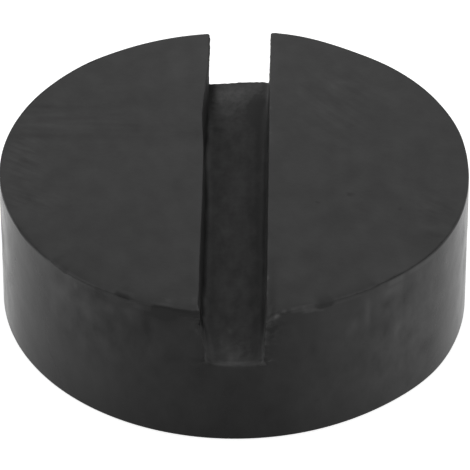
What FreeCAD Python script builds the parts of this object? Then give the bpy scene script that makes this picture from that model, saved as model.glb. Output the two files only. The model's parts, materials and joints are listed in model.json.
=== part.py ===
# Rubber jack pad: a round puck moulded in one piece, with one square slot across its top.
# The puck sits on the head of a jack. The seam flange under a car's sill drops into the
# slot, and the sill bears on the two flat lands beside it.
#
# The origin is the centre of the flat base, +Z is up and the slot runs along Y.
# The front is -Y. Every length is in millimetres.
import FreeCAD, Part
import math
import os

# The puck
PAD_DIAMETER = 75.0
PAD_HEIGHT = 25.0
BASE_EDGE_RADIUS = 0.3

# The slot: its walls lean apart towards the top, so that the moulding comes off its core
SLOT_WIDTH = 10.0
SLOT_FLOOR_WIDTH = 8.8
SLOT_DEPTH = 10.0
SLOT_CORNER_RADIUS = 0.6

# The soft moulded edge round each land and each mouth of the slot
LAND_EDGE_RADIUS = 0.3

# The corner of the right-hand land that has worn away at the slot's front mouth:
# how far down the corner, how far round the rim and how far back along the slot it reaches
WORN_DROP = 1.9
WORN_ROUND_RIM = 2.7
WORN_ALONG_SLOT = 6.0

pad_radius = PAD_DIAMETER / 2
slot_half_width = SLOT_WIDTH / 2
slot_floor_height = PAD_HEIGHT - SLOT_DEPTH
slot_wall_lean = (SLOT_WIDTH - SLOT_FLOOR_WIDTH) / 2 / SLOT_DEPTH
mouth_reach = math.sqrt(pad_radius**2 - slot_half_width**2)

# How near two lengths have to be to count as the same
SAME_LENGTH = 1e-4


def puck():
    """The round body without its slot: half a section, turned about Z."""
    arc_inset = BASE_EDGE_RADIUS * (1 - math.sqrt(0.5))
    base_centre = FreeCAD.Vector(0, 0, 0)
    base_rim = FreeCAD.Vector(pad_radius - BASE_EDGE_RADIUS, 0, 0)
    edge_middle = FreeCAD.Vector(pad_radius - arc_inset, 0, arc_inset)
    wall_foot = FreeCAD.Vector(pad_radius, 0, BASE_EDGE_RADIUS)
    top_rim = FreeCAD.Vector(pad_radius, 0, PAD_HEIGHT)
    top_centre = FreeCAD.Vector(0, 0, PAD_HEIGHT)
    section = Part.Wire(
        [
            Part.LineSegment(base_centre, base_rim).toShape(),
            Part.Arc(base_rim, edge_middle, wall_foot).toShape(),
            Part.LineSegment(wall_foot, top_rim).toShape(),
            Part.LineSegment(top_rim, top_centre).toShape(),
            Part.LineSegment(top_centre, base_centre).toShape(),
        ]
    )
    return Part.Face(section).revolve(base_centre, FreeCAD.Vector(0, 0, 1), 360)


def slot_tool():
    """The bar whose place the slot takes: it runs past the puck, with rounded lower corners."""
    overrun = pad_radius
    floor_half_width = SLOT_FLOOR_WIDTH / 2
    brow_half_width = slot_half_width + slot_wall_lean * overrun
    front = -pad_radius - overrun
    section = Part.makePolygon(
        [
            FreeCAD.Vector(-floor_half_width, front, slot_floor_height),
            FreeCAD.Vector(floor_half_width, front, slot_floor_height),
            FreeCAD.Vector(brow_half_width, front, PAD_HEIGHT + overrun),
            FreeCAD.Vector(-brow_half_width, front, PAD_HEIGHT + overrun),
            FreeCAD.Vector(-floor_half_width, front, slot_floor_height),
        ]
    )
    bar = Part.Face(section).extrude(FreeCAD.Vector(0, -2 * front, 0))
    floor_corners = [e for e in bar.Edges if is_level_at(e, slot_floor_height) and runs_along_slot(e)]
    return bar.makeFillet(SLOT_CORNER_RADIUS, floor_corners)


def worn_corner_tool():
    """A thick slab on the sloping facet that wear has left on the right-hand land's corner."""
    corner_angle = math.asin(slot_half_width / pad_radius)
    rim_angle = corner_angle + WORN_ROUND_RIM / pad_radius
    low_point = FreeCAD.Vector(slot_half_width, -mouth_reach, PAD_HEIGHT - WORN_DROP)
    rim_point = FreeCAD.Vector(
        pad_radius * math.sin(rim_angle), -pad_radius * math.cos(rim_angle), PAD_HEIGHT
    )
    slot_point = FreeCAD.Vector(slot_half_width, -mouth_reach + WORN_ALONG_SLOT, PAD_HEIGHT)

    # The slab takes the whole corner above the facet's plane, and nothing left of the slot.
    upwards = (rim_point - low_point).cross(slot_point - low_point).normalize()
    reach = WORN_DROP + WORN_ROUND_RIM + WORN_ALONG_SLOT
    slab = Part.makeBox(2 * reach, 2 * reach, reach, FreeCAD.Vector(-reach, -reach, 0))
    slab.Placement = FreeCAD.Placement(
        low_point, FreeCAD.Rotation(FreeCAD.Vector(0, 0, 1), upwards)
    )
    size = 2 * PAD_DIAMETER
    left_half = Part.makeBox(size, size, size, FreeCAD.Vector(-size, -size / 2, -size / 2))
    return slab.cut(left_half)


def runs_along_slot(edge):
    """True for a straight edge along Y."""
    box = edge.BoundBox
    return box.XLength < SAME_LENGTH and box.ZLength < SAME_LENGTH


def is_level_at(edge, height):
    """True for an edge that lies level, at this height."""
    box = edge.BoundBox
    return abs(box.ZMin - height) < SAME_LENGTH and abs(box.ZMax - height) < SAME_LENGTH


def is_eased(edge):
    """True for the outline of a land, of the worn facet and of each open end of the slot."""
    box = edge.BoundBox
    if is_level_at(edge, PAD_HEIGHT):
        return True
    above_the_floor = box.ZMin > slot_floor_height - SAME_LENGTH
    from_mouth_to_mouth = box.YLength > mouth_reach
    return above_the_floor and not from_mouth_to_mouth


def rubber_pad():
    """The finished pad: slotted, worn at one corner and eased along its upper edges."""
    body = puck().cut(slot_tool()).cut(worn_corner_tool())
    eased = [e for e in body.Edges if is_eased(e)]
    return body.makeFillet(LAND_EDGE_RADIUS, eased)


def main():
    os.makedirs("parts", exist_ok=True)
    pad = rubber_pad()
    pad.exportStep("parts/rubber_pad.step")
    print("rubber_pad:", len(pad.Solids), "solid, valid", pad.isValid(), "volume", round(pad.Volume, 1))


main()
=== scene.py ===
"""A slotted rubber jack pad with its moulded and worn surface, built around its measured frame.

Lengths are in metres. +Z is up, the slot runs along Y, and the front, which the camera
sees, is -Y. An angle round the pad counts from +X on the right, and is negative in front.
"""

import json
import math

import bmesh
import bpy
import numpy as np
from bpy.props import FloatProperty, FloatVectorProperty, IntProperty, PointerProperty
from bpy.types import Operator, Panel, PropertyGroup
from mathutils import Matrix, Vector, noise


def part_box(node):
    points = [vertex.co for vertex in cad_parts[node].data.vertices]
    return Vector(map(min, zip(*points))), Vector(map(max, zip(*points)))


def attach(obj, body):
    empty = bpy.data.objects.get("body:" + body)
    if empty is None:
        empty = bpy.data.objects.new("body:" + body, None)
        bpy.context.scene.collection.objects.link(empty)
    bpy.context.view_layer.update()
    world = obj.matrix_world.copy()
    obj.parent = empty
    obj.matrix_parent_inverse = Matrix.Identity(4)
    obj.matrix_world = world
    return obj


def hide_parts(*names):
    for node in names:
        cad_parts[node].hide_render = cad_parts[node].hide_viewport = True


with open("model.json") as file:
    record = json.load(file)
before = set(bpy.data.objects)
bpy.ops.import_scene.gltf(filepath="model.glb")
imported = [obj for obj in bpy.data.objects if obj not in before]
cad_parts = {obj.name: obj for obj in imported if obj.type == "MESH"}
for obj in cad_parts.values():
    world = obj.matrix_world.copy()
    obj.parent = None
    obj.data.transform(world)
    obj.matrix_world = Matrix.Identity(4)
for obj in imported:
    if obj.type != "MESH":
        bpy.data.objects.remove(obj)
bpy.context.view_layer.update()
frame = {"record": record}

bl_info = {
    "name": "Rubber Jack Pad",
    "version": (1, 0, 0),
    "blender": (4, 5, 0),
    "location": "View3D > Sidebar > Jack Pad",
    "description": "A moulded rubber pad with a slot for the flange under a car's sill",
    "category": "Add Mesh",
}

MM = 0.001

# How near two places have to be to count as the same
SAME_PLACE = 0.01 * MM

# The seed of the noise that tears the edges of the slot's mouths
NOISE_SEED = 3

# Sizes read from the frame
NODE = "rubber_pad"
pad_low, pad_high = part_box(NODE)
PAD_RADIUS = (pad_high.x - pad_low.x) / 2
PAD_HEIGHT = pad_high.z
MOUNTS = {mount["name"]: mount for mount in frame["record"]["mounts"]}
SLOT_FLOOR = MOUNTS["slot_floor"]["pos_m"][2]
SLOT_DEPTH = PAD_HEIGHT - SLOT_FLOOR

# The slot's section: its walls lean apart towards the top, and its lower corners are round. They
# are sharper at the back mouth, and turn so between two places along the slot
SLOT_HALF_WIDTH = 5.0 * MM
FLOOR_HALF_WIDTH = 4.8 * MM
SLOT_CORNER = 1.25 * MM
BACK_CORNER = 0.5 * MM
CORNER_TURNS = (26 * MM, 34 * MM)
WALL_LEAN = (SLOT_HALF_WIDTH - FLOOR_HALF_WIDTH) / SLOT_DEPTH
MOUTH_REACH = math.sqrt(PAD_RADIUS**2 - SLOT_HALF_WIDTH**2)
MOUTH_ANGLE = math.asin(SLOT_HALF_WIDTH / PAD_RADIUS)

# The mesh: its rows of faces under the rim and down to the slot's floor, each ring under the base
# as a share of the last, and the power by which the floor's columns crowd towards its corners
ROWS_UNDER_RIM = [0.25 * MM] * 6
ROWS_TO_FLOOR = [0.4 * MM, 0.3 * MM, 0.2 * MM, 0.2 * MM, 0.15 * MM]
BASE_RINGS = (0.94, 0.8, 0.7, 0.5)
COLUMN_CROWDING = 1.4

# The height of the row that an edge is rounded out of, in radii, and of the tallest row below
# the slot, in spacings along the slot
LAND_EDGE_ROW = 1.4
BASE_EDGE_ROW = 1.3
TALLEST_ROW = 1.4

# Edges that turn by more than this are rounded, and in how many steps
SHARP_TURN = math.radians(45)
BASE_EDGE_STEPS = 5
LAND_EDGE_STEPS = 4

# Edges that turn by less than this are shaded smooth
SMOOTH_TURN = math.radians(40)


def linear(hex_colour):
    """An sRGB hex colour as linear red, green, blue and alpha."""
    parts = [int(hex_colour[i : i + 2], 16) / 255 for i in (1, 3, 5)]
    return [p / 12.92 if p <= 0.04045 else ((p + 0.055) / 1.055) ** 2.4 for p in parts] + [1.0]


class PadShape(PropertyGroup):
    """How soft and how worn the moulding is, and how fine the mesh is"""

    land_edge_radius: FloatProperty(
        name="Land edge",
        description="Radius of the edge round each land and each mouth of the slot",
        default=0.35 * MM,
        unit="LENGTH",
    )
    base_edge_radius: FloatProperty(
        name="Base edge",
        description="Radius of the edge round the base",
        default=0.3 * MM,
        unit="LENGTH",
    )
    foot_draft: FloatProperty(
        name="Foot draft",
        description="How much further out the wall stands at its foot than at its rim",
        default=0.22 * MM,
        unit="LENGTH",
    )
    worn_drop: FloatProperty(
        name="Worn corner",
        description="How far the right-hand land's front corner at the slot has worn down",
        default=1.6 * MM,
        unit="LENGTH",
    )
    worn_round_rim: FloatProperty(
        name="Worn corner round the rim",
        description="Distance round the rim in which the worn corner rises to a third of its drop",
        default=1.0 * MM,
        unit="LENGTH",
    )
    worn_along_slot: FloatProperty(
        name="Worn corner along the slot",
        description="Distance along the slot in which the worn corner rises to a third of its drop",
        default=2.2 * MM,
        unit="LENGTH",
    )
    rim_points: IntProperty(
        name="Rim points",
        description="Mesh edges round the rim of one land, an even number",
        default=284,
    )
    slot_points: IntProperty(
        name="Slot points",
        description="Mesh edges along one edge of the slot, an even number under the rim's",
        default=166,
    )


class RubberFinish(PropertyGroup):
    """The black rubber's colours and gloss"""

    dark_rubber: FloatVectorProperty(
        name="Dark rubber",
        description="The rubber where it is clean and dark",
        subtype="COLOR",
        size=4,
        default=linear("#090909"),
    )
    # Pale end of the tint: bloom and wear, and also painted light and painted highlights
    bloom_and_painted_light: FloatVectorProperty(
        name="Bloomed rubber",
        description="The rubber where wax has bloomed to the surface or wear has left it pale",
        subtype="COLOR",
        size=4,
        default=linear("#5A5A5A"),
    )
    wall_paleness: FloatProperty(
        name="Wall paleness",
        description="How far the outer wall is from the dark rubber to the bloomed",
        default=0.13,
        subtype="FACTOR",
    )
    land_paleness: FloatProperty(
        name="Land paleness",
        description="How far the two lands are from the dark rubber to the bloomed",
        default=0.18,
        subtype="FACTOR",
    )
    slot_paleness: FloatProperty(
        name="Slot paleness",
        description="How far the slot's floor and walls are from the dark rubber to the bloomed",
        default=0.16,
        subtype="FACTOR",
    )
    wall_roughness: FloatProperty(
        name="Wall roughness",
        description="How far the smooth outer wall spreads a reflection",
        default=0.2,
        subtype="FACTOR",
    )
    land_roughness: FloatProperty(
        name="Land roughness",
        description="How far the two lands spread a reflection",
        default=0.45,
        subtype="FACTOR",
    )
    slot_roughness: FloatProperty(
        name="Slot roughness",
        description="How far the slot's grainy floor and walls spread a reflection",
        default=0.55,
        subtype="FACTOR",
    )
    refraction: FloatProperty(
        name="Refraction",
        description="The rubber's index of refraction",
        default=1.52,
    )
    reflection: FloatProperty(
        name="Reflection",
        description="How much the rubber reflects seen straight on, where 0.5 is usual",
        default=0.22,
        subtype="FACTOR",
    )


class StudioSetup(PropertyGroup):
    """The floor, the light and the camera"""

    floor_colour: FloatVectorProperty(
        name="Floor",
        description="The colour of the floor",
        subtype="COLOR",
        size=4,
        default=linear("#E6E6E6"),
    )
    front_light: FloatProperty(
        name="Front light",
        description="Strength of the soft light from the camera's side",
        default=0.35,
    )
    back_light: FloatProperty(
        name="Back light",
        description="Strength of the soft light from behind the pad",
        default=1.05,
    )
    camera_distance: FloatProperty(
        name="Camera distance",
        description="From the camera to the point that it looks at",
        default=600 * MM,
        unit="LENGTH",
    )
    camera_elevation: FloatProperty(
        name="Camera elevation",
        description="The camera's height above the horizon",
        default=math.radians(37.64),
        subtype="ANGLE",
    )
    camera_azimuth: FloatProperty(
        name="Camera azimuth",
        description="How far the camera stands round to the right of the slot's line",
        default=math.radians(0.9),
        subtype="ANGLE",
    )
    aim_height: FloatProperty(
        name="Aim height",
        description="Height of the point on the pad's axis that the camera looks at",
        default=11.03 * MM,
        unit="LENGTH",
    )
    lens: FloatProperty(
        name="Lens",
        description="Focal length on a 36 mm sensor",
        default=284.6,
    )


def lone_object(name):
    """The object that was just added, under its own name and with its place in its mesh."""
    obj = bpy.context.view_layer.objects.active
    obj.name = name
    obj.data.name = name
    bpy.ops.object.transform_apply(location=True, rotation=True, scale=True)
    return obj


def pick_edges(obj, test):
    """Selects the edges of the mesh being edited that pass the test, and no others."""
    bpy.ops.mesh.select_mode(type="EDGE")
    bpy.ops.mesh.select_all(action="DESELECT")
    mesh = bmesh.from_edit_mesh(obj.data)
    for edge in mesh.edges:
        if test(edge):
            edge.select_set(True)
    bmesh.update_edit_mesh(obj.data)


def is_open(edge):
    """True for an edge with a face on one side only."""
    return len(edge.link_faces) == 1


def along_slot_edge(edge):
    """True for an edge on the line where a land ends at the slot, or straight below it."""
    return all(abs(abs(end.co.x) - SLOT_HALF_WIDTH) < SAME_PLACE for end in edge.verts)


def at_height(edge, height):
    """True for an edge whose ends both lie at this height."""
    return all(abs(end.co.z - height) < SAME_PLACE for end in edge.verts)


def angle_round(point):
    """A point's angle round the pad, from the right."""
    return math.atan2(point.y, point.x)


def reach_at(x):
    """How far the round rim reaches along the slot's direction, this far from its middle."""
    return math.sqrt(PAD_RADIUS**2 - x**2)


def add_right_land(shape):
    """The flat land right of the slot: a point spun into the rim, closed by the slot's edge."""
    bpy.ops.mesh.primitive_plane_add(size=MM, location=(SLOT_HALF_WIDTH, -MOUTH_REACH, PAD_HEIGHT))
    pad = lone_object("moulded_pad")
    bpy.ops.object.mode_set(mode="EDIT")
    bpy.ops.mesh.select_mode(type="VERT")
    bpy.ops.mesh.select_all(action="SELECT")
    bpy.ops.mesh.merge(type="CENTER")
    bpy.ops.mesh.select_all(action="SELECT")
    rim_angle = math.pi - 2 * MOUTH_ANGLE
    bpy.ops.mesh.spin(
        steps=shape.rim_points, angle=rim_angle, center=(0, 0, PAD_HEIGHT), axis=(0, 0, -1)
    )

    bpy.ops.mesh.select_all(action="DESELECT")
    mesh = bmesh.from_edit_mesh(pad.data)
    for vertex in mesh.verts:
        vertex.select_set(len(vertex.link_edges) == 1)
    bmesh.update_edit_mesh(pad.data)
    bpy.ops.mesh.edge_face_add()
    pick_edges(pad, along_slot_edge)
    bpy.ops.mesh.subdivide(number_cuts=1)
    bpy.ops.mesh.subdivide(number_cuts=shape.slot_points // 2 - 1)

    facing_slot = rim_angle * shape.slot_points / shape.rim_points / 2

    def is_rail(edge):
        middle = (edge.verts[0].co + edge.verts[1].co) / 2
        return along_slot_edge(edge) or abs(angle_round(middle)) < facing_slot

    pick_edges(pad, is_rail)
    bpy.ops.mesh.fill_grid()
    return pad


def add_left_land():
    """The land left of the slot, which is the right one turned half round."""
    bpy.ops.mesh.select_all(action="SELECT")
    bpy.ops.mesh.duplicate()
    bpy.ops.transform.rotate(value=math.pi, orient_axis="Z", center_override=(0, 0, 0))


def extrude_down(steps):
    """Extrudes the selected edges down, one row of faces for each step."""
    for step in steps:
        bpy.ops.mesh.extrude_edges_move(TRANSFORM_OT_translate={"value": (0, 0, -step)})


def even_steps(length, longest):
    """A length cut into equal steps, none longer than the longest."""
    count = math.ceil(length / longest)
    return [length / count] * count


def add_walls_and_slot(pad, shape):
    """The walls down to the slot's floor, the floor, the wall below it and the base."""
    spacing = 2 * MOUTH_REACH / shape.slot_points
    edge_row = LAND_EDGE_ROW * shape.land_edge_radius
    plain_height = SLOT_DEPTH - edge_row - sum(ROWS_UNDER_RIM) - sum(ROWS_TO_FLOOR)
    plain_rows = even_steps(plain_height, spacing)

    pick_edges(pad, is_open)
    extrude_down([edge_row] + ROWS_UNDER_RIM + plain_rows + ROWS_TO_FLOOR)

    floor_columns = 2 * round(SLOT_HALF_WIDTH / spacing)
    pick_edges(pad, lambda edge: is_open(edge) and along_slot_edge(edge))
    bpy.ops.mesh.bridge_edge_loops(number_cuts=floor_columns - 1, interpolation="LINEAR")
    give_slot_its_section(pad)

    pick_edges(pad, is_open)
    extrude_down([edge_row])
    level = (0, 0, SLOT_FLOOR - edge_row)
    bpy.ops.transform.resize(value=(1, 1, 0), center_override=level)
    foot_row = BASE_EDGE_ROW * shape.base_edge_radius
    extrude_down(even_steps(SLOT_FLOOR - edge_row - foot_row, TALLEST_ROW * spacing))
    extrude_down([foot_row])

    for share in BASE_RINGS:
        bpy.ops.mesh.extrude_edges_move(TRANSFORM_OT_translate={"value": (0, 0, 0)})
        bpy.ops.transform.resize(value=(share, share, 1), center_override=(0, 0, 0))
    bpy.ops.mesh.merge(type="CENTER")


def slot_section(along, corner):
    """The slot's half section as x and z, by the way along it from the corner at its floor.

    The way is positive up the leaning wall and negative towards the middle of the floor.
    """
    if along < -corner:
        return FLOOR_HALF_WIDTH + along, SLOT_FLOOR
    if along > corner:
        return FLOOR_HALF_WIDTH + along * WALL_LEAN, SLOT_FLOOR + along
    share = (along + corner) / (2 * corner)
    from_floor = (1 - share) ** 2
    from_wall = share**2
    x = FLOOR_HALF_WIDTH + corner * (from_wall * WALL_LEAN - from_floor)
    return x, SLOT_FLOOR + corner * from_wall


def give_slot_its_section(pad):
    """Moves the slot's square walls and floor to its true section, with round lower corners.

    The corners are sharper at the back mouth. The floor's columns are crowded towards them, and
    both ends follow the round rim.
    """
    mesh = bmesh.from_edit_mesh(pad.data)
    for vertex in mesh.verts:
        place = vertex.co
        if abs(place.x) > SLOT_HALF_WIDTH + SAME_PLACE:
            continue
        if place.z > SLOT_FLOOR + SAME_PLACE:
            along = place.z - SLOT_FLOOR
        else:
            from_corner = max(1 - abs(place.x) / SLOT_HALF_WIDTH, 0)
            along = -FLOOR_HALF_WIDTH * from_corner**COLUMN_CROWDING
        corner = BACK_CORNER + (SLOT_CORNER - BACK_CORNER) * fade(place.y, *CORNER_TURNS)
        x, z = slot_section(along, corner)
        place.y *= reach_at(x) / MOUTH_REACH
        place.x = math.copysign(x, place.x)
        place.z = z
    bmesh.update_edit_mesh(pad.data)


def ease_edges(pad, shape):
    """Rounds the base's edge, and the edges of both lands and both mouths."""
    bpy.ops.mesh.select_all(action="SELECT")
    bpy.ops.mesh.remove_doubles(threshold=SAME_PLACE)
    bpy.ops.mesh.normals_make_consistent(inside=False)

    def is_sharp(edge):
        return edge.is_manifold and edge.calc_face_angle() > SHARP_TURN

    def on_base_edge(edge):
        return is_sharp(edge) and at_height(edge, 0)

    pick_edges(pad, on_base_edge)
    bpy.ops.mesh.bevel(
        offset=shape.base_edge_radius, segments=BASE_EDGE_STEPS, affect="EDGES"
    )

    def on_land_or_mouth_edge(edge):
        return is_sharp(edge) and min(end.co.z for end in edge.verts) > SLOT_FLOOR - SAME_PLACE

    pick_edges(pad, on_land_or_mouth_edge)
    bpy.ops.mesh.bevel(
        offset=shape.land_edge_radius, segments=LAND_EDGE_STEPS, affect="EDGES"
    )


# Where the pad is out of round: the middle's angle, the angle in which the swelling falls to a
# third, and the swelling. It dies away towards the axis by this power of the distance
SWELLING_POWER = 4
SWELLINGS = (
    (math.radians(-33), math.radians(14), 0.45 * MM),
    (math.radians(2), math.radians(13), -0.3 * MM),
    (math.radians(38), math.radians(9), 0.15 * MM),
    (math.radians(76), math.radians(11), 0.58 * MM),
    (math.radians(150), math.radians(14), 0.12 * MM),
)

# Worn stretches of the lands' rims: the first and last angle, the drop and how far in it falls to
# a third. They fade out down the wall, and over a small angle at both ends
RIM_WEAR_DEPTH = 3 * MM
RIM_WEAR_END = math.radians(0.8)
WORN_RIMS = (
    (math.radians(-81), math.radians(-69.5), 0.12 * MM, 0.6 * MM),
    (math.radians(-69.5), math.radians(-65.5), 0.6 * MM, 0.7 * MM),
    (math.radians(-65), math.radians(-54), 0.3 * MM, 1.2 * MM),
    (math.radians(-104), math.radians(-98), 0.3 * MM, 0.5 * MM),
    (math.radians(-113), math.radians(-107), 0.25 * MM, 1.0 * MM),
    (math.radians(-118), math.radians(-114.3), 0.45 * MM, 0.8 * MM),
    (math.radians(-138), math.radians(-119), 0.3 * MM, 1.2 * MM),
    (math.radians(-134.4), math.radians(-132.8), 0.3 * MM, 0.6 * MM),
    (math.radians(-153), math.radians(-139), 0.2 * MM, 0.5 * MM),
)

# How many times deeper than its drop the worn corner reaches down the wall
WORN_REACH = 3

# How far beside the slot and below its floor the slot's own unevenness fades out
SLOT_MARGIN = 5 * MM
FLOOR_MARGIN = 3 * MM

# How far the slot's walls stand off towards +X: the left one where it bows, with the middle and
# the spread of the bow, and behind it, and the whole right one
BOW = -0.5 * MM
BOW_MIDDLE = 15 * MM
BOW_SPREAD = 8 * MM
LEFT_WALL_BEHIND = 0.22 * MM
RIGHT_WALL = 0.33 * MM

# How far the walls' feet stand off towards +X, and how far the floor dips at the back mouth
LEFT_FOOT_IN_FRONT = 1.0 * MM
LEFT_FOOT_BEHIND = -0.35 * MM
RIGHT_FOOT_IN_FRONT = -0.3 * MM
DIP_LEFT = 0.55 * MM
DIP_RIGHT = 0.25 * MM

# The places along Y between which each of these comes or goes
FRONT_FEET = (-35 * MM, -27 * MM)
BACK_FOOT = (20 * MM, 28 * MM)
BACK_WALL = (22 * MM, 28 * MM)
BACK_DIP = (31 * MM, 37 * MM)

# The fine waviness of the slot's walls: its height and its length
SLOT_WAVE = 0.06 * MM
SLOT_WAVE_LENGTH = 3 * MM

# The torn edges of the mouths: how far the rubber is out of place, how far from the edge, the
# sizes of the coarse and the fine tears, and how far beside the slot and below its floor they go
TEAR = 0.16 * MM
TEAR_SPREAD = 0.9 * MM
COARSE_TEAR = 0.9 * MM
FINE_TEAR = 0.45 * MM
TEAR_MARGIN = 2 * MM
TEAR_BELOW = 1.5 * MM

# The burr over the left front corner: its overhang, its spread along X and Y, and its foot
BURR = 0.35 * MM
BURR_SPREAD = (0.8 * MM, 0.9 * MM)
BURR_FADES = (23.5 * MM, 22 * MM)

# The moulding's low waves: their height on the lands and on the wall, how far the lands sink so
# that no crest stands above the top, the lengths of the long and the short ones, and how near a
# face has to be to the top or the wall to have them
LAND_WAVE = 0.035 * MM
LAND_SINKS = 1.5
WALL_WAVE = 0.03 * MM
LONG_WAVE = 7 * MM
SHORT_WAVE = 2.5 * MM
OUTERMOST = 0.05 * MM


# Soft patches with their own shade, on the lands, in the slot and on the wall: the middle of each
# patch and how far it spreads along X, Y and Z, in millimetres, and how much paler it is there,
# or darker where that is negative
LAND_SHADES = (
    # Painted light: paler behind than in front, and where the worn rim slopes forward on the right
    (0.0, 36.0, 25.0, 60.0, 16.0, 5.0, 0.04),
    (0.0, -34.0, 25.0, 60.0, 14.0, 5.0, -0.045),
    (-17.0, -15.5, 25.0, 7.0, 4.5, 5.0, -0.03),
    (16.0, -14.5, 25.0, 5.0, 3.5, 5.0, -0.025),
    (18.0, -7.0, 25.0, 11.0, 6.0, 5.0, -0.025),
    (-34.0, 0.0, 25.0, 5.0, 10.0, 5.0, 0.03),
    (21.0, -30.0, 25.0, 4.0, 4.0, 5.0, 0.07),
    (26.0, -26.0, 25.0, 3.0, 3.0, 5.0, 0.06),
    (31.7, -17.5, 25.0, 2.4, 0.8, 5.0, -0.08),
    (31.0, -15.5, 25.0, 2.0, 0.6, 5.0, 0.05),
    # Left of the slot: pale and dark streaks across, and two dark clouds and a pale one behind
    (-30.0, 10.4, 25.0, 4.5, 0.7, 5.0, 0.09),
    (-29.0, 7.7, 25.0, 6.5, 0.8, 5.0, -0.09),
    (-29.0, 13.2, 25.0, 3.0, 0.5, 5.0, 0.05),
    (-31.0, 15.7, 25.0, 1.8, 0.5, 5.0, -0.07),
    (-16.0, 18.2, 25.0, 3.4, 2.6, 5.0, -0.09),
    (-18.5, 27.0, 25.0, 2.2, 1.6, 5.0, -0.05),
    (-22.0, 13.4, 25.0, 2.5, 1.0, 5.0, -0.05),
    (-17.5, 10.4, 25.0, 2.5, 1.0, 5.0, -0.05),
    (-10.0, 26.5, 25.0, 2.4, 3.6, 5.0, 0.07),
    (-9.4, 5.0, 25.0, 4.0, 3.0, 5.0, 0.04),
    (-8.0, 8.4, 25.0, 3.0, 1.0, 5.0, -0.04),
    # Right of the slot: a pale curved scratch behind, and pale smears
    (15.8, 21.9, 25.0, 0.5, 0.8, 5.0, 0.07),
    (17.3, 23.4, 25.0, 1.2, 0.7, 5.0, 0.09),
    (19.4, 22.6, 25.0, 0.9, 0.9, 5.0, 0.08),
    (10.3, 20.4, 25.0, 0.5, 1.2, 5.0, 0.06),
    (10.8, -27.0, 25.0, 1.0, 1.2, 5.0, 0.04),
    # The slot's two edges: a thin painted highlight, broken in places, and painted shade on the
    # rounder edge in front on the right
    (-5.5, -26.0, 25.0, 0.45, 7.0, 5.0, 0.06),
    (-5.6, 31.0, 25.0, 0.6, 5.0, 5.0, 0.06),
    (5.7, 29.0, 25.0, 0.6, 6.0, 5.0, 0.06),
    (5.9, -30.0, 25.0, 0.7, 9.0, 5.0, -0.08),
)
SLOT_SHADES = (
    # The floor: painted shade along its sides, most on the right; pale at both mouths, with scuffs
    # and painted light from the open ends; and painted shade in the back mouth's left corner
    (3.8, 0.0, 15.0, 1.5, 45.0, 4.0, -0.1),
    (3.7, -4.0, 15.0, 0.8, 30.0, 4.0, -0.08),
    (-3.5, 0.0, 15.0, 1.2, 60.0, 4.0, -0.02),
    (0.0, 20.0, 15.0, 6.0, 6.0, 4.0, -0.04),
    (0.3, -36.5, 15.0, 3.6, 2.4, 4.0, 0.16),
    (0.0, -33.0, 15.0, 4.5, 4.0, 4.0, 0.07),
    (-0.8, -35.3, 15.0, 1.5, 1.8, 4.0, 0.15),
    (0.6, 34.5, 15.0, 4.5, 3.2, 4.0, 0.16),
    (-1.4, 32.5, 15.0, 2.4, 4.0, 4.0, 0.16),
    (-3.0, 31.5, 15.0, 1.2, 4.5, 4.0, 0.2),
    (-5.4, 34.5, 18.0, 1.3, 8.5, 6.0, -0.75),
    (-1.2, 28.5, 15.0, 1.8, 2.6, 4.0, 0.11),
    (3.2, 31.2, 15.0, 1.6, 2.6, 2.0, -0.28),
    (2.8, 27.0, 15.0, 2.2, 3.4, 2.0, -0.16),
    # The walls and corners: painted light so that their shade isn't quite black, the most where
    # they turn into the lower front mouth
    (-4.9, -6.0, 19.0, 0.5, 30.0, 5.0, 0.12),
    (5.3, 0.0, 21.0, 0.5, 60.0, 5.5, 0.4),
    (4.9, 0.0, 15.8, 0.45, 60.0, 1.2, 0.65),
    (-4.9, -36.5, 17.0, 1.0, 5.0, 4.0, 0.35),
    (-4.4, -33.5, 15.6, 0.6, 5.0, 2.5, 0.16),
    (-4.75, -34.5, 16.1, 0.4, 4.5, 0.8, 0.3),
    (5.0, -36.5, 17.0, 1.0, 5.0, 4.0, 0.3),
    (4.8, -34.0, 16.0, 0.6, 3.5, 2.5, 0.3),
)
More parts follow.
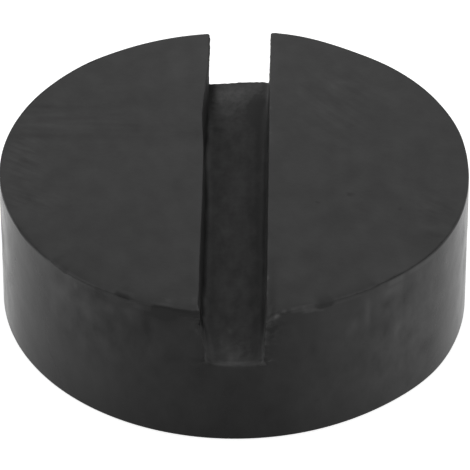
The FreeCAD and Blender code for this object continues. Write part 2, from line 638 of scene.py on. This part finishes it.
WALL_SHADES = (
    # Painted shade in front, painted light and sheen to both sides, paler high and darker low on
    # the left, and a painted reflection, palest at the far left below the rim
    (0.0, -38.0, 12.0, 13.0, 8.0, 30.0, -0.05),
    (13.5, -35.0, 12.0, 5.0, 6.0, 30.0, 0.08),
    (25.0, -28.0, 12.0, 11.0, 12.0, 30.0, 0.26),
    (28.5, -24.4, 12.0, 4.0, 4.0, 30.0, 0.1),
    (-24.0, -28.0, 12.0, 10.0, 11.0, 30.0, 0.14),
    (-31.0, -20.0, 25.0, 10.0, 12.0, 7.0, 0.16),
    (-31.0, -20.0, 1.0, 10.0, 12.0, 6.0, -0.12),
    (-37.0, -6.0, 18.0, 3.0, 5.5, 13.0, 1.0),
    (-36.5, -9.0, 18.0, 3.0, 3.0, 16.0, 0.3),
    # Stains and blooms on the right, and on the left
    (24.3, -28.5, 22.7, 1.6, 1.4, 0.9, 0.3),
    (23.8, -29.0, 20.4, 0.8, 1.0, 1.0, -0.26),
    (26.5, -26.5, 20.3, 0.8, 1.0, 2.6, -0.2),
    (25.2, -27.8, 14.6, 0.8, 1.0, 2.4, 0.22),
    (20.8, -31.2, 20.0, 0.45, 0.7, 3.2, 0.28),
    (18.9, -32.5, 19.0, 0.7, 0.6, 1.0, 0.16),
    (18.0, -33.0, 17.8, 0.7, 0.6, 1.0, 0.16),
    (12.5, -35.4, 16.6, 0.6, 0.6, 1.6, -0.12),
    (33.0, -17.8, 20.5, 0.8, 1.2, 3.0, 0.25),
    (-19.0, -32.3, 21.5, 1.6, 1.2, 0.8, 0.14),
    (-15.8, -34.0, 22.3, 1.4, 0.8, 0.7, 0.12),
    (-27.0, -26.0, 20.3, 1.4, 1.4, 1.4, 0.14),
    (-24.0, -28.8, 23.2, 0.3, 0.4, 0.8, 0.3),
    (-18.5, -32.7, 18.0, 0.8, 0.8, 1.6, -0.12),
    (-13.0, -35.2, 20.5, 0.7, 0.7, 1.8, -0.12),
    (-10.4, -36.1, 23.6, 3.0, 1.8, 1.3, -0.2),
)

# Small patches in the same way, with a steeper edge
CRISPNESS = 3
CRISP_SHADES = (
    # The worn corner: a painted highlight on its ragged lip, two painted glints, painted shade
    # below
    (6.0, -36.7, 24.3, 1.3, 0.9, 0.55, 0.3),
    (6.6, -36.8, 24.5, 0.4, 0.5, 0.35, 0.55),
    (7.9, -36.7, 25.0, 0.35, 0.5, 0.4, 0.35),
    (5.4, -37.0, 23.4, 0.4, 0.6, 0.5, 0.25),
    (4.3, -36.6, 24.0, 0.9, 1.6, 1.0, -0.35),
    # Pale crumbs down the slot's right edge
    (5.0, -28.6, 24.9, 0.4, 0.5, 0.4, 0.35),
    (5.0, -32.2, 24.7, 0.4, 0.5, 0.4, 0.3),
    (5.3, -37.1, 21.0, 0.4, 0.4, 0.45, 0.3),
    (5.2, -37.1, 19.0, 0.4, 0.4, 0.4, 0.25),
    (5.1, 16.0, 24.8, 0.4, 0.6, 0.4, 0.2),
    (5.1, 9.0, 24.8, 0.4, 0.5, 0.4, 0.15),
    # The left-hand land's front corner: a painted highlight on the burr, painted shade in the
    # tears and on the wall just inside the mouth, with pale chips, and a pale scratch
    (-5.4, -36.7, 25.0, 0.4, 0.35, 0.3, 0.1),
    (-5.0, -37.0, 24.3, 0.5, 0.7, 0.45, -0.8),
    (-4.6, -36.2, 22.9, 0.6, 1.6, 1.2, -0.7),
    (-4.6, -33.5, 20.8, 0.6, 2.0, 1.8, -0.5),
    (-4.3, -36.9, 23.7, 0.25, 0.6, 0.25, 0.6),
    (-3.9, -36.9, 24.6, 0.25, 0.8, 0.3, 0.3),
    (-3.8, -36.9, 23.2, 0.25, 0.8, 0.5, 0.2),
    (-5.4, -37.1, 21.5, 0.6, 0.5, 0.2, 0.12),
    (-5.6, -34.5, 25.0, 0.5, 1.0, 0.3, 0.08),
    (-9.5, -34.4, 25.0, 0.5, 0.5, 0.3, 0.1),
    # Pale crumbs at the foot of the slot's left wall
    (-4.4, -27.0, 15.3, 0.35, 0.9, 0.5, 0.22),
    (-4.85, -26.0, 16.0, 0.3, 0.8, 0.6, 0.25),
    (-4.35, -22.5, 15.4, 0.25, 1.4, 0.5, 0.2),
    # The slot's floor at the front mouth: a painted highlight on its rounded front edge, painted
    # shade in the corners on either side, and two specks
    (0.55, -37.3, 14.9, 3.9, 0.6, 0.4, 0.28),
    (-2.3, -37.3, 14.9, 1.4, 0.6, 0.4, 0.1),
    (-4.6, -37.1, 15.4, 0.75, 0.6, 0.7, -0.25),
    (4.9, -37.1, 15.4, 0.6, 0.6, 0.7, -0.2),
    (-0.6, -29.5, 15.0, 0.35, 0.6, 0.5, 0.18),
    (-2.2, -32.4, 15.0, 0.35, 0.6, 0.5, 0.15),
    # The slot's floor at the back mouth: crumbs in the scuff, and a dark streak in front of it
    (-2.6, 31.0, 15.0, 0.4, 0.6, 0.5, 0.2),
    (-1.9, 32.5, 15.0, 0.4, 0.5, 0.5, 0.16),
    (-1.3, 27.9, 15.0, 0.5, 0.6, 0.5, 0.14),
    (4.4, 33.2, 15.3, 0.5, 1.6, 0.6, 0.12),
    (-3.2, 23.4, 15.0, 1.5, 0.5, 0.5, -0.12),
    # Three pits in the right-hand land, and a speck by the wall's foot
    (18.3, -7.2, 25.0, 0.45, 0.5, 0.5, -0.2),
    (13.2, -9.4, 25.0, 0.4, 0.4, 0.5, -0.15),
    (26.0, -11.0, 25.0, 0.4, 0.4, 0.5, -0.12),
    (-32.8, -18.1, 1.5, 0.5, 0.5, 0.5, -0.3),
)

# Bands along the lands' rims: the first and last angle in degrees, how far the band reaches from
# the wall below the rim (negative) to the land (positive) in millimetres, and the change of shade.
# Their ends and sides are soft, and nothing further than this inside the pad has them
BAND_END_EASE = 0.8
BAND_SIDE_EASE = 0.25
BAND_DEPTH = 0.5
RIM_SHADES = (
    # In front on the right: a worn scar painted as pale as the land, as painted light on a facet
    # that faces the dim front, a torn notch, and a soft worn stretch where painted light hides the
    # rim's shade
    (-79.0, -75.0, -0.2, 0.3, 0.13),
    (-76.0, -72.5, -0.65, 0.4, 0.22),
    (-73.0, -70.3, -1.15, 0.4, 0.26),
    (-70.6, -68.0, -1.05, -0.55, 0.18),
    (-69.6, -65.5, -0.5, 0.1, -0.08),
    (-67.5, -64.5, 0.2, 0.9, 0.05),
    (-65.5, -58.0, -0.5, 0.5, 0.15),
    (-58.0, -54.0, -0.3, 0.5, 0.1),
    # Further right: a crisp dark line of painted shade on the rounded rim, painted sheen below it
    (-54.0, -30.0, -0.1, 0.3, -0.06),
    (-50.5, -46.0, -1.3, -0.3, 0.25),
    (-44.0, -34.0, -1.2, -0.3, 0.16),
    # In front on the left: a painted highlight on the crisp edge over painted shade, then chips,
    # then a soft worn stretch where painted light hides the rim's shade
    (-109.0, -97.8, 0.4, 0.9, 0.07),
    (-108.5, -97.6, -1.0, 0.3, -0.15),
    (-113.5, -109.0, -1.4, 0.3, 0.1),
    (-118.0, -114.3, 0.1, 0.7, -0.14),
    (-118.0, -114.5, 0.9, 1.5, 0.08),
    (-118.0, -113.5, -0.6, 0.0, 0.1),
    (-124.0, -118.5, -2.2, -0.6, -0.06),
    (-124.0, -118.5, -0.4, 0.4, 0.08),
    (-139.0, -124.0, -0.5, 0.4, 0.17),
    (-155.0, -140.0, -0.2, 0.2, -0.05),
    # Behind: a thin dark line of painted shade round the rounded rim
    (8.0, 81.0, 0.0, 0.3, -0.12),
    (99.0, 180.0, 0.0, 0.3, -0.12),
    (-180.0, -168.0, 0.0, 0.3, -0.12),
)

# Where the lands are streaked across, smeared aslant and rippled, as soft patches
STREAKS = ((-26.0, 12.0, 25.0, 12.0, 6.0, 1.0, 1.0),)
SMEARS = ((16.0, 16.0, 25.0, 7.0, 9.0, 1.0, 1.0),)
RIPPLES = (
    (-34.0, 2.0, 25.0, 3.0, 7.0, 1.0, 1.0),
    (-31.0, -9.5, 25.0, 4.5, 2.5, 1.0, 1.0),
    (32.0, -12.0, 25.0, 3.0, 6.0, 1.0, 0.6),
)

# Where the wall is clouded with bloom, in its shade and its gloss, and where the slot's floor and
# its front corners are scuffed to grain, as soft patches
CLOUDS = (
    (29.0, -24.0, 14.0, 13.0, 13.0, 14.0, 1.0),
    (-24.0, -28.0, 20.0, 12.0, 10.0, 9.0, 0.8),
    (0.0, -37.0, 12.0, 60.0, 30.0, 30.0, 0.25),
    (36.0, -8.0, 16.0, 5.0, 9.0, 12.0, 1.4),
    (-36.0, -8.0, 16.0, 5.0, 10.0, 13.0, 2.5),
)
SLOT_SCUFFS = (
    (0.0, 33.0, 15.0, 6.0, 7.0, 3.0, 1.0),
    (0.0, -35.0, 15.0, 6.0, 4.0, 3.0, 0.6),
)
CORNER_SCUFFS = (
    (5.0, -36.8, 22.0, 2.5, 2.5, 4.0, 1.2),
    (-4.8, -36.8, 23.5, 1.5, 1.5, 2.0, 1.0),
)

# Where the gloss is taken off: in the back mouth's left corner, painted dark as shade, and at
# the tears in front
DULLED = (
    (-5.0, 35.0, 18.0, 1.6, 8.0, 8.0, 1.0),
    (-4.6, -36.0, 22.4, 0.7, 2.2, 2.0, 1.0),
)


# Where one part's look turns into the next, in millimetres: past the slot's walls, up to its
# floor, up to the lands, and where the painted shade along the foot fades, with its darkness
PAST_SLOT = 0.2
UNDER_FLOOR = 0.25
UNDER_LAND = (0.3, 0.05)
FOOT_PAINTED_SHADE_FADE = (0.35, 0.1)
FOOT_PAINTED_SHADE = -0.4

# The values that each corner of the mesh keeps for the material
KEPT_VALUES = (
    "on_land", "in_slot", "shades", "streaks", "smears", "ripples", "clouds", "scuffs", "dulled"
)


def corner_places(pad):
    """The places of the pad's corners, in millimetres."""
    places = np.empty(3 * len(pad.data.vertices))
    pad.data.vertices.foreach_get("co", places)
    return places.reshape(-1, 3) / MM


def patches_at(places, patches, crispness=1):
    """The sum of some patches at each place: a crisper patch is flatter, with a steeper edge."""
    total = np.zeros(len(places))
    for *middle, spread_x, spread_y, spread_z, strength in patches:
        away = (places - middle) / (spread_x, spread_y, spread_z)
        total += strength * np.exp(-np.square(away).sum(axis=1) ** crispness)
    return total


def ramp(values, start, end):
    """0 up to the start and 1 from the end on, with a slope between them."""
    return np.clip((values - start) / (end - start), 0, 1)


def inside(values, low, high, ease):
    """1 between two limits and 0 outside them, with a slope on both sides."""
    from_nearer_limit = np.minimum(values - low, high - values)
    return np.clip(from_nearer_limit / ease + 0.5, 0, 1)


def rim_bands_at(places):
    """The sum of the bands along the lands' rims at each place."""
    angles = np.degrees(np.arctan2(places[:, 1], places[:, 0]))
    from_wall = PAD_RADIUS / MM - np.hypot(places[:, 0], places[:, 1])
    from_top = PAD_HEIGHT / MM - places[:, 2]
    across = np.where(from_wall > from_top, from_wall, -from_top)
    on_surface = np.minimum(from_wall, from_top) < BAND_DEPTH
    total = np.zeros(len(places))
    for first, last, low, high, change in RIM_SHADES:
        along_rim = inside(angles, first, last, BAND_END_EASE)
        total += change * along_rim * inside(across, low, high, BAND_SIDE_EASE)
    return total * on_surface


def keep_values(pad, name, values):
    """Keeps a value for each of the pad's corners, for its material to read."""
    kept = pad.data.attributes.new(name, "FLOAT", "POINT")
    kept.data.foreach_set("value", values.astype(np.float32))


def shade_surface(pad):
    """Marks the pad's parts, and where each shade and each pattern of its surface lies."""
    places = corner_places(pad)
    height = places[:, 2]
    above_floor = height - SLOT_FLOOR / MM
    slot_wall = FLOOR_HALF_WIDTH / MM + np.maximum(above_floor, 0) * WALL_LEAN
    in_slot = ramp(np.abs(places[:, 0]), slot_wall + PAST_SLOT, slot_wall)
    in_slot *= ramp(above_floor, -UNDER_FLOOR, 0)
    on_land = ramp(PAD_HEIGHT / MM - height, *UNDER_LAND)
    on_wall = np.clip(1 - on_land - in_slot, 0, 1)
    # Real marks and tone, with painted light, painted highlights and painted shade among them
    shades = patches_at(places, CRISP_SHADES, CRISPNESS) + rim_bands_at(places)
    # Painted shade along the foot, where the base meets the floor
    shades += FOOT_PAINTED_SHADE * ramp(height, *FOOT_PAINTED_SHADE_FADE)
    shades += on_land * patches_at(places, LAND_SHADES)
    shades += in_slot * patches_at(places, SLOT_SHADES)
    shades += on_wall * patches_at(places, WALL_SHADES)
    keep_values(pad, "in_slot", in_slot)
    keep_values(pad, "on_land", on_land)
    keep_values(pad, "shades", shades)
    for name, part, patches in (
        ("streaks", on_land, STREAKS),
        ("smears", on_land, SMEARS),
        ("ripples", on_land, RIPPLES),
        ("clouds", on_wall, CLOUDS),
        ("dulled", in_slot, DULLED),
    ):
        keep_values(pad, name, part * patches_at(places, patches))
    scuffs = in_slot * patches_at(places, SLOT_SCUFFS) + patches_at(places, CORNER_SCUFFS)
    keep_values(pad, "scuffs", scuffs)


def fade(value, start, end):
    """Falls from 1 at the start to 0 at the end, smoothly at both."""
    share = min(max((value - start) / (end - start), 0), 1)
    return 1 - share * share * (3 - 2 * share)


def bump_at(value, middle, spread):
    """A smooth hill, 1 high at its middle and a third as high one spread away."""
    return math.exp(-(((value - middle) / spread) ** 2))


def swelling(place, shape):
    """The pad isn't quite round, and it is a little wider at its foot, to leave the mould."""
    from_axis = math.hypot(place.x, place.y)
    if from_axis < PAD_RADIUS / 2:
        return Vector((0, 0, 0))
    angle = angle_round(place)
    growth = sum(rise * bump_at(angle, middle, spread) for middle, spread, rise in SWELLINGS)
    growth += shape.foot_draft * (1 - place.z / PAD_HEIGHT)
    outwards = Vector((place.x, place.y, 0)) / from_axis
    return outwards * growth * (from_axis / PAD_RADIUS) ** SWELLING_POWER


def worn_corner(place, shape):
    """The soft hollow that wear has left in the right-hand land's front corner at the slot."""
    if place.x < 0 or place.y > 0:
        return Vector((0, 0, 0))
    from_slot = max(place.x - SLOT_HALF_WIDTH, 0)
    from_mouth = max(place.y + reach_at(min(place.x, PAD_RADIUS)), 0)
    near = math.exp(-from_slot / shape.worn_round_rim - from_mouth / shape.worn_along_slot)
    lost = shape.worn_drop * near * fade(PAD_HEIGHT - place.z, 0, WORN_REACH * shape.worn_drop)
    return Vector((0, 0, -lost))


def worn_rim(place):
    """The stretches of the rim where the land's edge has worn or torn down."""
    angle = angle_round(place)
    from_rim = max(PAD_RADIUS - math.hypot(place.x, place.y), 0)
    depth = PAD_HEIGHT - place.z
    drop = 0
    if depth < RIM_WEAR_DEPTH and abs(place.x) > SLOT_HALF_WIDTH - MM:
        for first, last, lost, inset in WORN_RIMS:
            before_last = fade(angle, last - RIM_WEAR_END, last + RIM_WEAR_END)
            before_first = fade(angle, first - RIM_WEAR_END, first + RIM_WEAR_END)
            drop += lost * before_last * (1 - before_first) * math.exp(-from_rim / inset)
    return Vector((0, 0, -drop * fade(depth, 0, RIM_WEAR_DEPTH)))


def slot_unevenness(place):
    """The slot isn't quite straight: its left wall bows, and its right wall stands off.

    The walls' feet also come in at the front mouth, and the left one goes out at the back mouth,
    where the floor dips, more so on its left.
    """
    if abs(place.x) > SLOT_HALF_WIDTH + SLOT_MARGIN or place.z < SLOT_FLOOR - FLOOR_MARGIN:
        return Vector((0, 0, 0))
    near_slot = fade(abs(place.x), SLOT_HALF_WIDTH, SLOT_HALF_WIDTH + SLOT_MARGIN)
    near_slot *= fade(place.z, SLOT_FLOOR, SLOT_FLOOR - FLOOR_MARGIN)
    on_right = fade(place.x, SLOT_HALF_WIDTH - MM, -SLOT_HALF_WIDTH)
    on_left = 1 - on_right

    bow = BOW * bump_at(place.y, BOW_MIDDLE, BOW_SPREAD)
    left_wall = bow + LEFT_WALL_BEHIND * (1 - fade(place.y, *BACK_WALL))
    shift = left_wall * on_left + RIGHT_WALL * on_right

    in_front = fade(place.y, *FRONT_FEET)
    left_foot = LEFT_FOOT_IN_FRONT * in_front + LEFT_FOOT_BEHIND * (1 - fade(place.y, *BACK_FOOT))
    right_foot = RIGHT_FOOT_IN_FRONT * in_front
    at_foot = fade(place.z, SLOT_FLOOR + MM, PAD_HEIGHT - MM)
    shift += at_foot * (left_foot * on_left + right_foot * on_right)
    wave = noise.noise(Vector((place.x, place.y / 2, place.z)) / SLOT_WAVE_LENGTH)
    shift += SLOT_WAVE * wave

    dip = (DIP_LEFT * on_left + DIP_RIGHT * on_right) * (1 - fade(place.y, *BACK_DIP))
    dip *= fade(place.z, SLOT_FLOOR, SLOT_FLOOR + FLOOR_MARGIN)
    return near_slot * Vector((shift, 0, -dip))


def ragged_mouths(place):
    """Torn and pitted rubber along the upright edges of both mouths, and along the floor's ends."""
    if abs(place.x) > SLOT_HALF_WIDTH + TEAR_MARGIN or place.z < SLOT_FLOOR - TEAR_BELOW:
        return Vector((0, 0, 0))
    from_mouth = abs(reach_at(min(abs(place.x), PAD_RADIUS)) - abs(place.y))
    if place.z > SLOT_FLOOR + MM:
        from_edge = math.hypot(abs(place.x) - SLOT_HALF_WIDTH, from_mouth)
    else:
        from_edge = from_mouth
    torn = noise.noise_vector(place / COARSE_TEAR) + 0.5 * noise.noise_vector(place / FINE_TEAR)
    return TEAR * bump_at(from_edge, 0, TEAR_SPREAD) * torn


def torn_corner(place):
    """The burr on the left-hand land's front corner, which hangs over into the slot's mouth."""
    if place.x > 0 or place.y > 0:
        return Vector((0, 0, 0))
    spread_x, spread_y = BURR_SPREAD
    near = bump_at(place.x, -SLOT_HALF_WIDTH, spread_x) * bump_at(place.y, -MOUTH_REACH, spread_y)
    return Vector((BURR * near * fade(place.z, *BURR_FADES), 0, 0))


def surface_waves(place):
    """Low waves all over, as compression moulding leaves them."""
    height = noise.noise(place / LONG_WAVE) + 0.5 * noise.noise(place / SHORT_WAVE)
    if place.z > PAD_HEIGHT - OUTERMOST:
        return Vector((0, 0, LAND_WAVE * (height - LAND_SINKS)))
    if math.hypot(place.x, place.y) > PAD_RADIUS - OUTERMOST:
        return Vector((place.x, place.y, 0)).normalized() * WALL_WAVE * height
    return Vector((0, 0, 0))


def wear_down(pad, shape):
    """Moves the finished moulding's corners to where wear and a rough mould have left them."""
    noise.seed_set(NOISE_SEED)
    for vertex in pad.data.vertices:
        place = vertex.co.copy()
        if place.z < SAME_PLACE:
            vertex.co += swelling(place, shape)
            continue
        vertex.co += (
            swelling(place, shape)
            + worn_corner(place, shape)
            + worn_rim(place)
            + slot_unevenness(place)
            + ragged_mouths(place)
            + torn_corner(place)
            + surface_waves(place)
        )


def add_node(tree, kind, inputs, **settings):
    """Adds a shader node with its settings, and links or sets each of the inputs given."""
    node = tree.nodes.new(kind)
    for name, value in settings.items():
        setattr(node, name, value)
    for name, value in inputs.items():
        if isinstance(value, bpy.types.NodeSocket):
            tree.links.new(value, node.inputs[name])
        else:
            node.inputs[name].default_value = value
    return node


# The rubber's fine grain: its size, how deep it is and how much of that depth shows
GRAIN_SIZE = 0.8 * MM
GRAIN_DEPTH = 0.03 * MM
GRAIN_STRENGTH = 0.5

# Coarser patterns: how far each is turned, and its grains' size along X, Y and Z
PATTERN_DETAIL = 3.0
PATTERNS = (
    ("streaks", 0.0, (9 * MM, 1.6 * MM, 9 * MM)),
    ("smears", math.radians(48), (8 * MM, 1.5 * MM, 8 * MM)),
    ("ripples", math.radians(31), (4 * MM, 0.9 * MM, 4 * MM)),
    ("mottle", 0.0, (3.5 * MM, 5.5 * MM, 3.5 * MM)),
    ("clouds", 0.0, (3.0 * MM, 3.0 * MM, 4.5 * MM)),
    ("blotches", 0.0, (1.6 * MM, 3.4 * MM, 1.6 * MM)),
    ("crumbs", math.radians(20), (1.1 * MM, 2.2 * MM, 1.1 * MM)),
)

# Which pattern marks which part, and how strongly it changes the shade there
MARKS = (
    ("mottle", "on_land", 0.25),
    ("grain", "on_land", 0.03),
    ("grain", "in_slot", 0.12),
    ("blotches", "in_slot", 0.5),
    ("grain", "scuffs", 0.35),
    ("crumbs", "scuffs", 0.8),
    ("clouds", "clouds", 0.9),
    ("streaks", "streaks", 0.3),
    ("smears", "smears", 0.35),
    ("ripples", "ripples", 0.5),
)

# How strongly the bloom on the wall changes its gloss
BLOOM_ROUGHNESS = 0.25


def vulcanised_rubber(finish):
    """Compression-moulded black rubber: nearly black, dull, with a sheen only at low angles.

    The wall is as smooth as the mould's bore, the lands are duller, and the slot is grainy.
    """
    material = bpy.data.materials.new("vulcanised_rubber")
    material.use_nodes = True
    tree = material.node_tree
    shader = tree.nodes["Principled BSDF"]
    shader.inputs["IOR"].default_value = finish.refraction
    shader.inputs["Specular IOR Level"].default_value = finish.reflection

    place = add_node(tree, "ShaderNodeTexCoord", {}).outputs["Object"]
    kept = {
        name: add_node(tree, "ShaderNodeAttribute", {}, attribute_name=name).outputs["Fac"]
        for name in KEPT_VALUES
    }

    # Patterns between 0 and 1: fine grain, and coarser noise drawn out along one way
    patterns = {
        "grain": add_node(
            tree,
            "ShaderNodeTexNoise",
            {"Vector": place, "Scale": 1 / GRAIN_SIZE, "Detail": PATTERN_DETAIL},
        ).outputs["Fac"]
    }
    for name, turn, sizes in PATTERNS:
        turned = add_node(
            tree, "ShaderNodeMapping", {"Vector": place, "Rotation": (0, 0, turn)}
        ).outputs["Vector"]
        stretched = add_node(
            tree, "ShaderNodeMapping", {"Vector": turned, "Scale": [1 / size for size in sizes]}
        ).outputs["Vector"]
        patterns[name] = add_node(
            tree,
            "ShaderNodeTexNoise",
            {"Vector": stretched, "Scale": 1.0, "Detail": PATTERN_DETAIL},
        ).outputs["Fac"]

    # How much paler than dark rubber the surface is, added up from its parts and patterns; the kept
    # shades carry painted light, painted highlights and painted shade as well as real marks
    marks = {}
    paleness = add_node(
        tree, "ShaderNodeMath", {0: kept["shades"], 1: finish.wall_paleness}, operation="ADD"
    ).outputs["Value"]
    for pattern, part, weight in MARKS:
        mark = add_node(
            tree, "ShaderNodeMath", {0: patterns[pattern], 1: -0.5}, operation="ADD"
        ).outputs["Value"]
        mark = add_node(
            tree, "ShaderNodeMath", {0: mark, 1: kept[part]}, operation="MULTIPLY"
        ).outputs["Value"]
        marks[pattern, part] = mark
        paleness = add_node(
            tree, "ShaderNodeMath", {0: mark, 1: weight, 2: paleness}, operation="MULTIPLY_ADD"
        ).outputs["Value"]
    for part, extra in (
        ("on_land", finish.land_paleness - finish.wall_paleness),
        ("in_slot", finish.slot_paleness - finish.wall_paleness),
    ):
        paleness = add_node(
            tree, "ShaderNodeMath", {0: kept[part], 1: extra, 2: paleness}, operation="MULTIPLY_ADD"
        ).outputs["Value"]
    tint = add_node(
        tree,
        "ShaderNodeMixRGB",
        {"Fac": paleness, "Color1": finish.dark_rubber, "Color2": finish.bloom_and_painted_light},
    )
    tree.links.new(tint.outputs["Color"], shader.inputs["Base Color"])

    # The gloss: each part's own, taken off at the tears and in the corner painted dark as shade,
    # and broken up by the bloom on the wall
    roughness = finish.wall_roughness
    for value, extra in (
        (kept["on_land"], finish.land_roughness - finish.wall_roughness),
        (kept["in_slot"], finish.slot_roughness - finish.wall_roughness),
        (kept["dulled"], 1 - finish.slot_roughness),
        (marks["clouds", "clouds"], BLOOM_ROUGHNESS),
    ):
        roughness = add_node(
            tree, "ShaderNodeMath", {0: value, 1: extra, 2: roughness}, operation="MULTIPLY_ADD"
        ).outputs["Value"]
    tree.links.new(roughness, shader.inputs["Roughness"])

    bump = add_node(
        tree,
        "ShaderNodeBump",
        {"Height": patterns["grain"], "Distance": GRAIN_DEPTH, "Strength": GRAIN_STRENGTH},
    )
    tree.links.new(bump.outputs["Normal"], shader.inputs["Normal"])
    return material


class JACKPAD_OT_moulded_pad(Operator):
    """Model the whole pad in one piece, with its slot, its worn corner and its rubber finish"""

    bl_idname = "jackpad.moulded_pad"
    bl_label = "Moulded Pad"

    def execute(self, context):
        shape = context.scene.jackpad_shape
        bpy.ops.object.select_all(action="DESELECT")
        pad = add_right_land(shape)
        add_left_land()
        add_walls_and_slot(pad, shape)
        ease_edges(pad, shape)
        bpy.ops.object.mode_set(mode="OBJECT")
        shade_surface(pad)
        wear_down(pad, shape)
        bpy.ops.object.shade_smooth_by_angle(angle=SMOOTH_TURN)
        pad.data.materials.append(vulcanised_rubber(context.scene.jackpad_finish))
        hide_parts(NODE)
        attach(pad, "root")
        return {"FINISHED"}


class JACKPAD_OT_studio(Operator):
    """Set up the pale floor, the soft white light all round and the camera"""

    bl_idname = "jackpad.studio"
    bl_label = "Studio"

    def execute(self, context):
        studio = context.scene.jackpad_studio
        add_floor(studio)
        light_sky(context.scene, studio)
        place_camera(context.scene, studio)
        context.scene.view_settings.view_transform = "Standard"
        return {"FINISHED"}


# The studio floor: its size, its height a hair above the pad's base, and how strongly each kind
# of ray sees it glow, so that it looks white
FLOOR_SIZE = 4.0
FLOOR_HEIGHT = 2 * SAME_PLACE
FLOOR_ROUGHNESS = 0.9
FLOOR_GLOWS = (("Is Camera Ray", 0.75), ("Is Glossy Ray", 0.4), ("Is Transmission Ray", 0.4))

# The camera's sensor, in millimetres as Blender has it, and the nearest that it sees
SENSOR_WIDTH = 36.0
NEAREST_SEEN = 10 * MM


def add_floor(studio):
    """A matt pale floor that the camera sees as white, apart from the pad's shadow.

    It lies a hair above the pad's base, so that the two faces aren't in one plane.
    """
    bpy.ops.object.select_all(action="DESELECT")
    bpy.ops.mesh.primitive_plane_add(size=FLOOR_SIZE, location=(0, 0, FLOOR_HEIGHT))
    floor = lone_object("studio_floor")
    material = bpy.data.materials.new("matt_white_floor")
    material.use_nodes = True
    tree = material.node_tree
    shader = tree.nodes["Principled BSDF"]
    shader.inputs["Base Color"].default_value = studio.floor_colour
    shader.inputs["Roughness"].default_value = FLOOR_ROUGHNESS
    shader.inputs["Specular IOR Level"].default_value = 0.0
    shader.inputs["Emission Color"].default_value = (1, 1, 1, 1)
    path = add_node(tree, "ShaderNodeLightPath", {})
    glow = 0.0
    for ray, strength in FLOOR_GLOWS:
        glow = add_node(
            tree,
            "ShaderNodeMath",
            {0: path.outputs[ray], 1: strength, 2: glow},
            operation="MULTIPLY_ADD",
        ).outputs["Value"]
    tree.links.new(glow, shader.inputs["Emission Strength"])
    floor.data.materials.append(material)


def light_sky(scene, studio):
    """A white sky that lights the pad softly, and that the camera and reflections see as white."""
    world = bpy.data.worlds.new("white_sky")
    scene.world = world
    world.use_nodes = True
    tree = world.node_tree
    sky = tree.nodes["Background"]
    sky.inputs["Color"].default_value = (1, 1, 1, 1)
    path = add_node(tree, "ShaderNodeLightPath", {})
    seen = path.outputs["Is Camera Ray"]
    for ray in ("Is Glossy Ray", "Is Transmission Ray"):
        seen = add_node(
            tree, "ShaderNodeMath", {0: seen, 1: path.outputs[ray]}, operation="MAXIMUM"
        ).outputs["Value"]
    direction = add_node(tree, "ShaderNodeTexCoord", {}).outputs["Generated"]
    way = add_node(tree, "ShaderNodeSeparateXYZ", {"Vector": direction})
    light = add_node(
        tree,
        "ShaderNodeMapRange",
        {
            "Value": way.outputs["Y"],
            "From Min": -1.0,
            "To Min": studio.front_light,
            "To Max": studio.back_light,
        },
    )
    strength = add_node(
        tree,
        "ShaderNodeMapRange",
        {"Value": seen, "To Min": light.outputs["Result"], "To Max": 1.0},
    )
    tree.links.new(strength.outputs["Result"], sky.inputs["Strength"])


def place_camera(scene, studio):
    """The camera, which looks down on the pad from the photograph's angle."""
    aim = Vector((0, 0, studio.aim_height))
    level = math.cos(studio.camera_elevation)
    back = Vector(
        (
            math.sin(studio.camera_azimuth) * level,
            -math.cos(studio.camera_azimuth) * level,
            math.sin(studio.camera_elevation),
        )
    )
    bpy.ops.object.camera_add(location=aim + back * studio.camera_distance)
    camera = bpy.context.view_layer.objects.active
    camera.name = "camera"
    camera.rotation_euler = back.to_track_quat("Z", "Y").to_euler()
    camera.data.lens = studio.lens
    camera.data.sensor_width = SENSOR_WIDTH
    camera.data.clip_start = NEAREST_SEEN
    scene.camera = camera


class JACKPAD_PT_sidebar(Panel):
    """The pad's sizes, finish and studio"""

    bl_label = "Rubber Jack Pad"
    bl_idname = "JACKPAD_PT_sidebar"
    bl_space_type = "VIEW_3D"
    bl_region_type = "UI"
    bl_category = "Jack Pad"

    def draw(self, context):
        layout = self.layout
        scene = context.scene
        for settings, operator in (
            (scene.jackpad_shape, JACKPAD_OT_moulded_pad),
            (scene.jackpad_finish, None),
            (scene.jackpad_studio, JACKPAD_OT_studio),
        ):
            column = layout.column()
            for name in settings.__annotations__:
                column.prop(settings, name)
            if operator:
                column.operator(operator.bl_idname)


CLASSES = (
    PadShape,
    RubberFinish,
    StudioSetup,
    JACKPAD_OT_moulded_pad,
    JACKPAD_OT_studio,
    JACKPAD_PT_sidebar,
)


def register():
    for cls in CLASSES:
        bpy.utils.register_class(cls)
    bpy.types.Scene.jackpad_shape = PointerProperty(type=PadShape)
    bpy.types.Scene.jackpad_finish = PointerProperty(type=RubberFinish)
    bpy.types.Scene.jackpad_studio = PointerProperty(type=StudioSetup)


def unregister():
    del bpy.types.Scene.jackpad_studio
    del bpy.types.Scene.jackpad_finish
    del bpy.types.Scene.jackpad_shape
    for cls in reversed(CLASSES):
        bpy.utils.unregister_class(cls)


def main():
    register()
    bpy.ops.jackpad.moulded_pad()
    bpy.ops.jackpad.studio()


if __name__ == "__main__":
    main()
